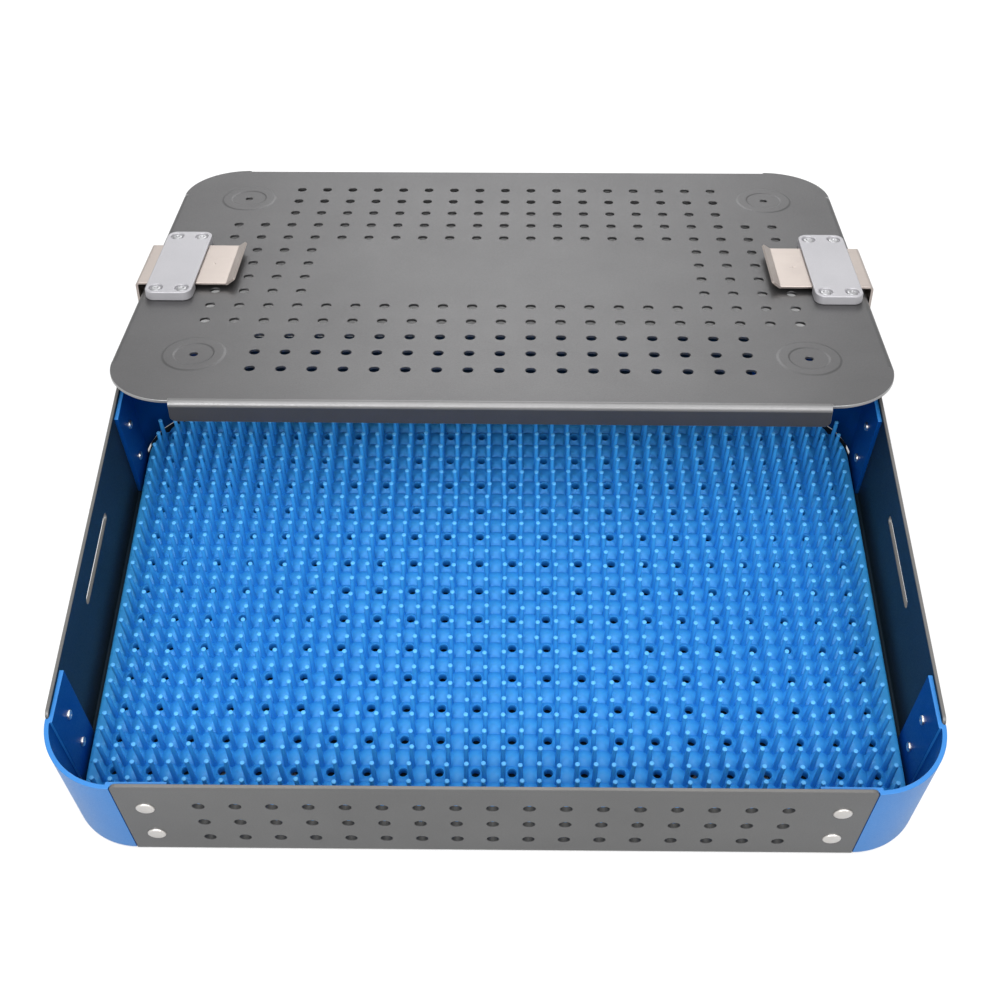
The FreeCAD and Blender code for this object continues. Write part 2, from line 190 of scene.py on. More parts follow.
def paint_shade_inside(obj, index, floor=0.0):
    """Gives a darker copy of the material, painted shade, to faces that look into the tray or look
    up below a height.
    """
    for face in obj.data.polygons:
        away = face.normal.x * face.center.x + face.normal.y * face.center.y
        upright = abs(face.normal.z) < 0.3 and away < -0.01
        low = face.normal.z > 0.0 and face.center.z < floor
        if face.material_index == 0 and (upright or low):
            face.material_index = index


def apply_all(obj):
    """Applies every modifier of an object to its mesh."""
    graph = bpy.context.evaluated_depsgraph_get()
    graph.update()
    mesh = bpy.data.meshes.new_from_object(obj.evaluated_get(graph), depsgraph=graph)
    obj.modifiers.clear()
    obj.data = mesh


def cut(obj, cutters):
    """Takes the cutters out of an object."""
    for cutter in cutters:
        mod = obj.modifiers.new("cut", "BOOLEAN")
        mod.operation = "DIFFERENCE"
        mod.solver = "EXACT"
        mod.object = cutter
    apply_all(obj)
    for cutter in cutters:
        bpy.data.objects.remove(cutter)


def circle(x, y, radius, count):
    """Points round a circle, anticlockwise."""
    turns = [2 * math.pi * k / count for k in range(count)]
    return [(x + radius * math.cos(a), y + radius * math.sin(a)) for a in turns]


def arc(x, y, radius, start, end, count):
    """Points along an arc, in degrees, both ends included."""
    out = []
    for k in range(count + 1):
        a = math.radians(start + (end - start) * k / count)
        out.append((x + radius * math.cos(a), y + radius * math.sin(a)))
    return out


def rounded(half_x, half_y, radius, count=10):
    """A rounded rectangle, anticlockwise."""
    x, y = half_x - radius, half_y - radius
    return (arc(x, y, radius, 0, 90, count) + arc(-x, y, radius, 90, 180, count)
            + arc(-x, -y, radius, 180, 270, count) + arc(x, -y, radius, 270, 360, count))


def tidy_loop(points):
    """A loop without points that repeat the one before."""
    out = []
    for p in points:
        if not out or math.dist(p, out[-1]) > 1e-4:
            out.append(p)
    if math.dist(out[0], out[-1]) < 1e-4:
        out.pop()
    return out


def inset(points, depths):
    """An anticlockwise loop whose edges move inwards, each by its own depth."""
    count = len(points)
    out = []
    for i in range(count):
        p = Vector(points[i])
        before, after = Vector(points[i - 1]), Vector(points[(i + 1) % count])
        d0, d1 = (p - before).normalized(), (after - p).normalized()
        n0, n1 = Vector((-d0.y, d0.x)), Vector((-d1.y, d1.x))
        a, b = depths[i - 1], depths[i]
        det = d0.x * d1.y - d0.y * d1.x
        if abs(det) < 0.02:
            out.append(tuple(p + n0 * max(a, b)))
            continue
        # Where the two moved edges meet.
        q0, q1 = p + n0 * a, p + n1 * b
        t = ((q1.x - q0.x) * d1.y - (q1.y - q0.y) * d1.x) / det
        out.append(tuple(q0 + d0 * t))
    return out


def ring_faces(lower, upper, count):
    """Quads between two closed rows of points."""
    return [(lower + k, lower + (k + 1) % count, upper + (k + 1) % count, upper + k)
            for k in range(count)]


def in_shape(x, y, shape):
    """True where a point lies inside a loop."""
    inside = False
    for (ax, ay), (bx, by) in zip(shape, shape[1:] + shape[:1]):
        if (ay > y) != (by > y) and x < ax + (bx - ax) * (y - ay) / (by - ay):
            inside = not inside
    return inside


def plate(build, outline, holes=(), thick=1.5, soft=0.18, joined=(), rings=(), lift=None, at=None,
          hole_kind=0):
    """A sheet with round or free-form holes and softened edges, in z from 0 to its thickness.

    holes are (x, y, radius) or anticlockwise lists of points. joined are the numbers of the
    outline's edges that another sheet goes on from. rings are (x, y, radius, count) that refine
    the surface, and lift(x, y) raises both faces. The cut edges have the second material."""
    outline = tidy_loop(outline)
    lift = lift or (lambda x, y: 0.0)
    depths = [0.0 if i in joined else soft for i in range(len(outline))]
    inner = inset(outline, depths)
    points, edges = [], []

    def loop(ps):
        base = len(points)
        points.extend(Vector(p) for p in ps)
        edges.extend((base + k, base + (k + 1) % len(ps)) for k in range(len(ps)))

    loop(inner)
    walls, discs, shapes = [], [], []
    for hole in holes:
        if len(hole) == 3 and not hasattr(hole[0], "__len__"):
            x, y, r = hole
            wide = circle(x, y, r + soft, HOLE_SIDES)
            loop(wide)
            walls.append((circle(x, y, r, HOLE_SIDES), wide))
            discs.append((x, y, (r + soft - 0.01) ** 2))
        else:
            ps = tidy_loop(hole)
            wide = inset(ps, [-soft] * len(ps))
            loop(wide)
            walls.append((ps, wide))
            shapes.append(wide)
    for x, y, r, count in rings:
        loop(circle(x, y, r, count))
    found, _, tris, _, _, _ = delaunay_2d_cdt(points, edges, [], 1, 1e-4)

    near = {}
    for x, y, rr in discs:
        for i in (-1, 0, 1):
            for j in (-1, 0, 1):
                square = (round(x / NEAR) + i, round(y / NEAR) + j)
                near.setdefault(square, []).append((x, y, rr))
    kept = []
    for t in tris:
        cx = sum(found[i].x for i in t) / 3
        cy = sum(found[i].y for i in t) / 3
        around = near.get((round(cx / NEAR), round(cy / NEAR)), ())
        if any((cx - x) ** 2 + (cy - y) ** 2 < rr for x, y, rr in around):
            continue
        if any(in_shape(cx, cy, s) for s in shapes):
            continue
        kept.append(tuple(t))
    top = [(p.x, p.y, thick + lift(p.x, p.y)) for p in found]
    low = [(p.x, p.y, lift(p.x, p.y)) for p in found]
    build.add(top, kept, 0, at)
    build.add(low, [tuple(reversed(t)) for t in kept], 0, at)

    for narrow, wide in walls:
        n = len(narrow)
        rows = ([(x, y, thick + lift(x, y)) for x, y in wide]
                + [(x, y, thick - soft + lift(x, y)) for x, y in narrow]
                + [(x, y, soft + lift(x, y)) for x, y in narrow]
                + [(x, y, lift(x, y)) for x, y in wide])
        for row in range(3):
            build.add(rows[row * n:(row + 2) * n], ring_faces(0, n, n), hole_kind, at)
    n = len(outline)
    for i in range(n):
        if i in joined:
            continue
        j = (i + 1) % n
        a, b, ia, ib = outline[i], outline[j], inner[i], inner[j]
        column = [[(*ia, thick), (*ib, thick)], [(*a, thick - soft), (*b, thick - soft)],
                  [(*a, soft), (*b, soft)], [(*ia, 0.0), (*ib, 0.0)]]
        for row in range(3):
            (p, q), (r, s) = column[row], column[row + 1]
            build.add([p, q, s, r], [(0, 1, 2, 3)], 1, at)


def strip(build, outer, inner, halves, at=None, kind=0, cap=False):
    """A bent sheet along X, from rows of (y, z) for both faces and its half width at each row.

    cap closes its last row. The cut edges have the second material."""
    n = len(outer)
    for i in range(n - 1):
        a, b = halves[i], halves[i + 1]
        o = [(-a, *outer[i]), (a, *outer[i]), (b, *outer[i + 1]), (-b, *outer[i + 1])]
        u = [(-a, *inner[i]), (a, *inner[i]), (b, *inner[i + 1]), (-b, *inner[i + 1])]
        build.add(o, [(0, 1, 2, 3)], kind, at)
        build.add(u, [(3, 2, 1, 0)], kind, at)
        build.add([o[1], o[2], u[2], u[1]], [(0, 1, 2, 3)], 1, at)
        build.add([o[0], o[3], u[3], u[0]], [(0, 1, 2, 3)], 1, at)
    if cap:
        a = halves[-1]
        build.add([(-a, *outer[-1]), (a, *outer[-1]), (a, *inner[-1]), (-a, *inner[-1])],
                  [(0, 1, 2, 3)], 1, at)


def lathe(build, profile, at=None, count=32, kind=0):
    """Turns (radius, height) points round the z axis."""
    rows = []
    for r, z in profile:
        rows.append([(x, y, z) for x, y in circle(0, 0, r, count)] if r > 1e-6 else [(0.0, 0.0, z)])
    for a, b in zip(rows, rows[1:]):
        if len(a) == 1:
            build.add(a + b, [(0, 1 + k, 1 + (k + 1) % count) for k in range(count)], kind, at)
        elif len(b) == 1:
            build.add(a + b, [(k, (k + 1) % count, count) for k in range(count)], kind, at)
        else:
            build.add(a + b, ring_faces(0, count, count), kind, at)


def prism(build, outline, low, high):
    """A straight extrusion of a loop along z."""
    ps = tidy_loop(outline)
    n = len(ps)
    build.add([(x, y, low) for x, y in ps] + [(x, y, high) for x, y in ps],
              ring_faces(0, n, n) + [tuple(range(n, 2 * n)), tuple(reversed(range(n)))])


def side_matrix(side, distance):
    """From a frame whose +y points out of the rear wall to one of the four sides."""
    turn = {"rear": 0, "left": 90, "front": 180, "right": 270}[side]
    return Matrix.Rotation(math.radians(turn), 4, "Z") @ Matrix.Translation((0, distance, 0))


# Coordinates of an upright plate: along the wall, up, and inwards from its outer face.
UPRIGHT = Matrix(((1, 0, 0, 0), (0, 0, -1, 0), (0, 1, 0, 0), (0, 0, 0, 1)))


def fold_rows(radius, thick, count=6):
    """(y, z) rows of both faces of a quarter fold up, outer face at y = 0."""
    outer = radius + thick
    out = [(y - outer, z + outer) for y, z in arc(0, 0, outer, 270, 360, count)]
    inn = [(y - outer, z + outer) for y, z in arc(0, 0, radius, 270, 360, count)]
    return out, inn


def smooth(value, start, end):
    """0 before the start, 1 after the end, and a soft rise between them."""
    t = max(0.0, min(1.0, (value - start) / (end - start)))
    return t * t * (3 - 2 * t)


# ---------------------------------------------------------------- materials

# The colour sockets of a Mix node, and the heights between which the fingers' tips take their paler
# colour, a painted highlight.
MIX_A, MIX_B, MIX_OUT = 6, 7, 2
TIP_HIGHLIGHT_BAND = (0.0242, 0.0246)


def principled(name, color, metallic=0.0, roughness=0.5):
    """A material with uniform values on its shader; textures come on top of it."""
    mat = bpy.data.materials.new(name)
    mat.use_nodes = True
    sockets = shader(mat).inputs
    sockets["Base Color"].default_value = (*color, 1)
    sockets["Metallic"].default_value = metallic
    sockets["Roughness"].default_value = roughness
    return mat


def node(mat, kind, **values):
    """A node whose named sockets or properties are set."""
    n = mat.node_tree.nodes.new(kind)
    for key, value in values.items():
        if key in n.inputs:
            n.inputs[key].default_value = value
        else:
            setattr(n, key, value)
    return n


def link(mat, a, b):
    mat.node_tree.links.new(a, b)


def texture_space(mat, stretch=(1, 1, 1)):
    """The object's own coordinates in metres, stretched."""
    space = node(mat, "ShaderNodeTexCoord")
    mapping = node(mat, "ShaderNodeMapping")
    mapping.inputs["Scale"].default_value = stretch
    link(mat, space.outputs["Object"], mapping.inputs["Vector"])
    return mapping.outputs["Vector"]


def noise(mat, vector, scale, detail=3.0, rough=0.55):
    n = node(mat, "ShaderNodeTexNoise", Scale=scale, Detail=detail, Roughness=rough)
    link(mat, vector, n.inputs["Vector"])
    return n.outputs["Fac"]


def ramp(mat, fac, low, high, start=0.3, end=0.7):
    """Maps a value onto a range."""
    n = node(mat, "ShaderNodeMapRange")
    n.inputs["From Min"].default_value = start
    n.inputs["From Max"].default_value = end
    n.inputs["To Min"].default_value = low
    n.inputs["To Max"].default_value = high
    link(mat, fac, n.inputs["Value"])
    return n.outputs["Result"]


def tint(mat, fac, low, high, start=0.3, end=0.7):
    """A colour between two, by a value."""
    n = node(mat, "ShaderNodeValToRGB")
    n.color_ramp.elements[0].position = start
    n.color_ramp.elements[1].position = end
    n.color_ramp.elements[0].color = (*low, 1)
    n.color_ramp.elements[1].color = (*high, 1)
    link(mat, fac, n.inputs["Fac"])
    return n.outputs["Color"]


def bump(mat, height, strength, distance):
    n = node(mat, "ShaderNodeBump", Strength=strength, Distance=distance)
    link(mat, height, n.inputs["Height"])
    link(mat, n.outputs["Normal"], shader(mat).inputs["Normal"])


def shader(mat):
    return mat.node_tree.nodes["Principled BSDF"]


def anodised(name, dark, light, roughness, grain=1.0, metallic=0.9):
    """Satin anodised sheet: a fine matt grain with faint clouds in it."""
    mat = principled(name, light, metallic=metallic, roughness=roughness)
    space = texture_space(mat)
    clouds = noise(mat, space, 26.0, 4.0)
    link(mat, tint(mat, clouds, dark, light, 0.25, 0.75), shader(mat).inputs["Base Color"])
    fine = noise(mat, space, 1500.0, 2.0)
    link(mat, ramp(mat, fine, roughness - 0.05, roughness + 0.07), shader(mat).inputs["Roughness"])
    bump(mat, fine, 0.35 * grain, 0.00006)
    return mat


def brushed(name, dark, light, roughness, stretch):
    """Rolled or brushed metal: fine lines along one direction."""
    mat = principled(name, light, metallic=1.0, roughness=roughness)
    lines = noise(mat, texture_space(mat, stretch), 60.0, 5.0, 0.6)
    clouds = noise(mat, texture_space(mat), 60.0, 3.0)
    link(mat, tint(mat, clouds, dark, light, 0.3, 0.7), shader(mat).inputs["Base Color"])
    link(mat, ramp(mat, lines, roughness - 0.03, roughness + 0.06), shader(mat).inputs["Roughness"])
    bump(mat, lines, 0.12, 0.00002)
    return mat


def silicone(name, low, high, tip, start, end):
    """Matt moulded rubber with a faint haze of dust: darker low down and paler with height, painted
    shade in the valleys and at the fingers' feet, and palest at the tips, a painted highlight.
    """
    mat = principled(name, high, roughness=0.5)
    sockets = shader(mat).inputs
    sockets["Subsurface Weight"].default_value = 0.08
    sockets["Subsurface Scale"].default_value = 0.0015
    sockets["Subsurface Radius"].default_value = (0.3, 0.7, 1.0)
    sockets["Specular IOR Level"].default_value = 0.35
    space = node(mat, "ShaderNodeTexCoord")
    parts = node(mat, "ShaderNodeSeparateXYZ")
    link(mat, space.outputs["Object"], parts.inputs["Vector"])
    pale = tint(mat, ramp(mat, parts.outputs["Z"], 0.0, 1.0, start, end), low, high, 0.0, 1.0)
    cap = node(mat, "ShaderNodeMix", data_type="RGBA")
    link(mat, ramp(mat, parts.outputs["Z"], 0.0, 1.0, *TIP_HIGHLIGHT_BAND), cap.inputs["Factor"])
    link(mat, pale, cap.inputs[MIX_A])
    cap.inputs[MIX_B].default_value = (*tip, 1)
    clouds = noise(mat, space.outputs["Object"], 45.0, 4.0)
    mix = node(mat, "ShaderNodeMix", data_type="RGBA", blend_type="MULTIPLY")
    mix.inputs["Factor"].default_value = 1.0
    link(mat, cap.outputs[MIX_OUT], mix.inputs[MIX_A])
    link(mat, tint(mat, clouds, (0.9, 0.93, 0.96), (1.0, 1.0, 1.0)), mix.inputs[MIX_B])
    link(mat, mix.outputs[MIX_OUT], sockets["Base Color"])
    fine = noise(mat, space.outputs["Object"], 900.0, 2.0)
    link(mat, ramp(mat, fine, 0.42, 0.56), shader(mat).inputs["Roughness"])
    bump(mat, fine, 0.3, 0.00008)
    return mat


GREY = anodised("tray_grey", (0.092, 0.0925, 0.093), (0.108, 0.1085, 0.109), 0.36, 1.0, 0.2)
# Cut edges of the tray sheet: a lighter grey standing in for the light they catch, a painted
# highlight.
GREY_EDGE_HIGHLIGHT = anodised("tray_cut_edge_painted_highlight", (0.12, 0.118, 0.114), (0.15, 0.147, 0.143), 0.36, 1.0, 0.4)
# Faces that look into the tray and its floor under the mat: a dark, bluish copy of the grey,
# painted shade with a painted reflection of the blue mat.
GREY_SHADED_IN = anodised("tray_grey_painted_shade_inside", (0.01, 0.021, 0.033), (0.016, 0.029, 0.044), 0.36, 1.0, 0.0)
# Walls of the front and rear holes and their punch rims: near black, painted shade.
GREY_HOLE_SHADE = anodised("tray_hole_wall_painted_shade", (0.022, 0.022, 0.022), (0.03, 0.03, 0.03), 0.5, 1.0, 0.0)
LID_GREY = anodised("lid_grey", (0.096, 0.095, 0.097), (0.11, 0.109, 0.111), 0.44)
# The lid's front bend: a lighter copy of the lid grey, a painted highlight.
LID_BEND_HIGHLIGHT = anodised("lid_bend_painted_highlight", (0.17, 0.169, 0.17), (0.19, 0.189, 0.19), 0.4)
# The lid's cut edges: a much lighter grey standing in for the light they catch, a painted
# highlight.
LID_EDGE_HIGHLIGHT = anodised("lid_cut_edge_painted_highlight", (0.3, 0.3, 0.3), (0.42, 0.42, 0.42), 0.34)
BLUE = anodised("corner_blue", (0.016, 0.165, 0.48), (0.022, 0.19, 0.53), 0.34, 1.0, 0.0)
# Inner faces of the corner pieces: a darker copy of the blue, painted shade.
BLUE_SHADED_IN = anodised("corner_blue_inside", (0.001, 0.05, 0.23), (0.003, 0.065, 0.27), 0.34, 1.0, 0.0)
# The painted-shade copies also get a weak specular, so that they mirror little.
for inside in (GREY_SHADED_IN, BLUE_SHADED_IN):
    shader(inside).inputs["Specular IOR Level"].default_value = 0.1
# Both rubbers are darker low down and paler up high, painted shade in the valleys and at the
# fingers' feet; the fingers' paler tips are a painted highlight.
SILICONE = silicone("blue_silicone", (0.01, 0.2, 0.58), (0.043, 0.35, 0.76), (0.043, 0.35, 0.76),
                    0.0054, 0.0076)
FINGERS = silicone("blue_silicone_fingers", (0.022, 0.27, 0.68), (0.05, 0.37, 0.78),
                   (0.1, 0.43, 0.85), 0.006, 0.022)
RIVET = brushed("rivet_metal", (0.64, 0.615, 0.59), (0.78, 0.755, 0.725), 0.32, (1, 1, 1))
SCREW = brushed("screw_metal", (0.33, 0.33, 0.34), (0.42, 0.42, 0.43), 0.42, (1, 1, 1))
BLOCK_METAL = anodised("block_satin", (0.37, 0.365, 0.385), (0.42, 0.415, 0.435), 0.5, 1.6, 0.5)
STEEL = brushed("latch_steel", (0.445, 0.39, 0.36), (0.47, 0.415, 0.38), 0.3, (1, 9, 1))


# ---------------------------------------------------------------- tray

def hole_grid(counts, pitch, middle_y):
    """Round holes in columns and rows, column by column, with their middle at x = 0."""
    columns, rows = counts
    return [((i - (columns - 1) / 2) * pitch[0], (j - (rows - 1) / 2) * pitch[1] + middle_y, HOLE)
            for i in range(columns) for j in range(rows)]


def make_tray():
    """The folded tray sheet with round holes, slots and softened edges."""
    build = Build()
    half_x, half_y, height = TRAY[0] / 2, TRAY[1] / 2, TRAY[2]
    run = FOLD + SHEET
    front_half = half_x - CORNER
    side_half = half_y - CORNER

    def floor_corner(fx, fy):
        """A round corner under its corner piece, but for a short gap beside the side wall."""
        row = []
        for a in (3.75 * k for k in range(25)):
            reach = CORNER - CORNER_WALL - CORNER_GAP + CORNER_TUCK * smooth(a, 14, 19)
            row.append((fx * (half_x - CORNER + reach * math.cos(math.radians(a))),
                        fy * (half_y - CORNER + reach * math.sin(math.radians(a)))))
        return row if fx * fy > 0 else row[::-1]

    outline = [(half_x - run, -side_half), (half_x - run, side_half)]
    joined_marks = [0]
    outline += floor_corner(1, 1)
    joined_marks.append(len(outline))
    outline += [(front_half, half_y - run), (-front_half, half_y - run)]
    outline += floor_corner(-1, 1)
    joined_marks.append(len(outline))
    outline += [(run - half_x, side_half), (run - half_x, -side_half)]
    outline += floor_corner(-1, -1)
    joined_marks.append(len(outline))
    outline += [(-front_half, run - half_y), (front_half, run - half_y)]
    outline += floor_corner(1, -1)
    drains = hole_grid(DRAINS, (DRAIN_PITCH, DRAIN_PITCH), 0.0)
    plate(build, outline, drains, SHEET, joined=joined_marks)

    # The rim that the punch leaves round each hole, on the inner side of the wall, in the
    # near-black hole colour: painted shade.
    top = SHEET + PUNCH_RIM
    collar = [(HOLE - 0.01, SHEET - 0.2), (HOLE - 0.01, top - 0.1), (HOLE + 0.08, top),
              (HOLE + 0.4, top), (HOLE + 0.5, top - 0.1), (HOLE + 0.5, SHEET - 0.2),
              (HOLE - 0.01, SHEET - 0.2)]
    tip = WALL_TIP
    for half, sides in ((front_half, ("front", "rear")), (side_half, ("left", "right"))):
        wall = [(-half, run), (half, run)] + arc(half - tip, height - tip, tip, 0, 90, 6)
        wall += arc(tip - half, height - tip, tip, 90, 180, 6)
        perforated = half == front_half
        if perforated:
            middle = LOWEST_ROW + WALL_PITCH * (WALL_HOLES[1] - 1) / 2
            holes = hole_grid(WALL_HOLES, (WALL_PITCH, WALL_PITCH), middle)
        else:
            s = SLOT[1] / 2
            holes = [arc(SLOT[0] / 2 - s, SLOT[2], s, -90, 90, 12)
                     + arc(s - SLOT[0] / 2, SLOT[2], s, 90, 270, 12)]
        rows = fold_rows(FOLD, SHEET)
        for side in sides:
            at = side_matrix(side, half_y if half == front_half else half_x)
            # The front and rear holes' walls take the near-black painted shade; the slots' walls
            # take the lighter cut-edge colour, a painted highlight.
            plate(build, wall, holes, SHEET, joined=(0,), at=at @ UPRIGHT,
                  hole_kind=2 if perforated else 1)
            if perforated:
                for x, z, _ in holes:
                    place = at @ UPRIGHT @ Matrix.Translation((x, z, 0))
                    lathe(build, collar, place, HOLE_SIDES, 2)
            strip(build, rows[0], rows[1], [half] * len(rows[0]), at)
    obj = build.object("tray_sheet_detailed", [GREY, GREY_EDGE_HIGHLIGHT, GREY_HOLE_SHADE, GREY_SHADED_IN], flat=True)
    # Painted shade: the walls' inner faces and the floor under the mat take the dark copy.
    paint_shade_inside(obj, 3, 0.003)
    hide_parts("tray_shell")
    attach(obj, "tray")


def corner_profile():
    """The rear right corner piece from above: quarter round, stepped in to its two flanges."""
    c, w, s = CORNER, CORNER_WALL, SHEET
    inner = c - w
    rise = math.degrees(math.asin(CORNER_STEP / inner))
    start = math.degrees(math.asin(0.2 / c))
    reach = -CORNER_LAP
    one = [(c - s - w, reach), (c - s, reach), (c - s, 0.2 - 0.9), (c - s + 0.35, 0.2 - 0.1),
           (c - s + 0.9, 0.2)]
    outer = arc(0, 0, c, start, 90 - start, 28)
    two = [(y, x) for x, y in reversed(one)]
    inside = arc(0, 0, inner, 90 - rise, rise, 28)
    back = [(CORNER_STEP - 0.2, c - s - w + 0.2)]
    front = [(c - s - w + 0.2, CORNER_STEP - 0.2)]
    return one + outer + two + back + inside + front


def make_corners():
    """The four corner pieces with a soft rim."""
    ox, oy = TRAY[0] / 2 - CORNER, TRAY[1] / 2 - CORNER
    for y_name, fy in (("rear", 1), ("front", -1)):
        for x_name, fx in (("right", 1), ("left", -1)):
            build = Build()
            prism(build, corner_profile(), *CORNER_Z)
            place = Matrix.Diagonal((fx, fy, 1, 1)) @ Matrix.Translation((ox, oy, 0))
            obj = build.object("corner_%s_%s_rounded" % (y_name, x_name), [BLUE, BLUE_SHADED_IN], place)
            bevel(obj, 0.3, 3, 50)
            # Painted shade: the corner pieces' inner faces take the darker blue.
            paint_shade_inside(obj, 1)
            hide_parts("corner_%s_%s" % (y_name, x_name))
            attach(obj, "tray")


def make_rivets():
    """Two rivets at each wall end: broad flat head outside, small round end inside."""
    grip = SHEET + CORNER_WALL
    head = [(0.0, 0.92), (2.6, 0.9), (3.35, 0.8), (3.75, 0.55), (3.9, 0.25), (3.9, 0.0), (2.2, 0.0)]
    tail = [(2.2, -grip), (2.2, -grip - 0.45), (2.0, -grip - 0.8), (1.5, -grip - 0.97),
            (0.75, -grip - 1.0), (0.55, -grip - 0.75), (0.0, -grip - 0.7)]
    out = Matrix(((1, 0, 0, 0), (0, 0, 1, 0), (0, -1, 0, 0), (0, 0, 0, 1)))
    half_x, half_y = TRAY[0] / 2, TRAY[1] / 2
    for side, half, distance in (("front", half_x, half_y), ("rear", half_x, half_y),
                                 ("left", half_y, half_x), ("right", half_y, half_x)):
        for end in (-1, 1):
            build = Build()
            for z in RIVET_Z:
                place = Matrix.Translation((end * (half - CORNER - RIVET_INSET), 0, z))
                lathe(build, head + tail, side_matrix(side, distance) @ place @ out)
            centre = side_matrix(side, distance) @ Vector((end * half, 0, 0))
            if side in ("front", "rear"):
                other = "right" if centre.x > 0 else "left"
            else:
                other = "rear" if centre.y > 0 else "front"
            obj = build.object("rivets_%s_%s_turned" % (side, other), [RIVET], angle=50)
            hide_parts("rivets_%s_wall_%s" % (side, other))
            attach(obj, "tray")


# ---------------------------------------------------------------- mat

def inside_mat(x, y, margin):
    """True where a point lies inside the mat's rounded outline by a margin."""
    dx = abs(x) - (MAT_X - MAT_RADIUS)
    dy = abs(y - MAT_MIDDLE) - (MAT_HALF_Y - MAT_RADIUS)
    if dx > 0 and dy > 0:
        return math.hypot(dx, dy) < MAT_RADIUS - margin
    return dx < MAT_RADIUS - margin and dy < MAT_RADIUS - margin


def to_outline(x, y):
    """Moves a point that lies outside the mat's rounded outline onto it."""
    x = max(-MAT_X, min(MAT_X, x))
    if y < MAT_Y[0] + 0.5:
        y = MAT_Y[0]
    if y > MAT_Y[1] - 0.5:
        y = MAT_Y[1]
    kx, ky = MAT_X - MAT_RADIUS, MAT_HALF_Y - MAT_RADIUS
    dx, dy = abs(x) - kx, abs(y - MAT_MIDDLE) - ky
    if dx > 0 and dy > 0:
        d = math.hypot(dx, dy)
        if d > MAT_RADIUS:
            x = math.copysign(kx + dx * MAT_RADIUS / d, x)
            y = MAT_MIDDLE + math.copysign(ky + dy * MAT_RADIUS / d, y - MAT_MIDDLE)
    return x, y


def mat_height(x, y):
    """Height of the mat's upper face: a soft dome in each cell between four fingers."""
    u = (x + CELL / 2) / CELL
    v = (y - FIRST_FINGER[1]) / CELL
    qu = (1 - abs(u - round(u)) * 2) ** 2
    qv = (1 - abs(v - round(v)) * 2) ** 2
    edge = min(MAT_X - abs(x), MAT_HALF_Y - abs(y - MAT_MIDDLE))
    rim = max(0.0, 1 - edge / 1.2)
    return MAT_Z[1] - DOME * (qu + qv - 0.3 * qu * qv) * smooth(edge, 4.5, 8.2) - 0.6 * rim ** 2


def cell_edge(per):
    """Points round the square outline of a cell, anticlockwise."""
    half, step = CELL / 2, CELL / per
    steps = [k * step for k in range(per)]
    return ([(half, -half + s) for s in steps] + [(half - s, half) for s in steps]
            + [(-half, half - s) for s in steps] + [(-half + s, -half) for s in steps])


def make_mat_cell(build, cx, cy, edge):
    """One cell of the mat, upper and lower face, with a drain hole in some of them."""
    count = len(edge)
    column, row = round(cx / CELL), round((cy - FIRST_CELL_Y) / CELL)
    holed = column % 2 != 0 and row % 2 == 1 and inside_mat(cx, cy, 4.5)

    def blend(start, t):
        """Points between a circle of a radius, at t = 0, and the cell's edge, at t = 1."""
        out = []
        for x, y in edge:
            d = math.hypot(x, y)
            bx, by = x / d * start, y / d * start
            out.append(to_outline(cx + bx + (x - bx) * t, cy + by + (y - by) * t))
        return out

    def surface(start, steps):
        return [[(x, y, mat_height(x, y)) for x, y in blend(start, t)] for t in steps]

    low = [(x, y, MAT_UNDER) for x, y in blend(0.0, 1.0)]
    if not holed:
        rows = surface(0.0, (0.3, 0.55, 0.75, 0.9, 1.0))
        middle = to_outline(cx, cy)
        build.add(low, [tuple(range(count))])
    else:
        top = MAT_Z[1]
        rim = [(1.95, MAT_UNDER), (2.0, top - 0.5), (2.1, top - 0.12), (2.3, top + 0.02)]
        rows = [[(x, y, z) for x, y in blend(r, 0.0)] for r, z in rim]
        rows += surface(2.75, (0.0, 0.4, 0.75, 1.0))
        build.add(rows[0] + low, ring_faces(0, count, count))
    points = [p for row in rows for p in row]
    faces = []
    for r in range(len(rows) - 1):
        faces += ring_faces(r * count, (r + 1) * count, count)
    if not holed:
        points.append((*middle, mat_height(*middle)))
        faces += [(len(points) - 1, k, (k + 1) % count) for k in range(count)]
    build.add(points, faces)


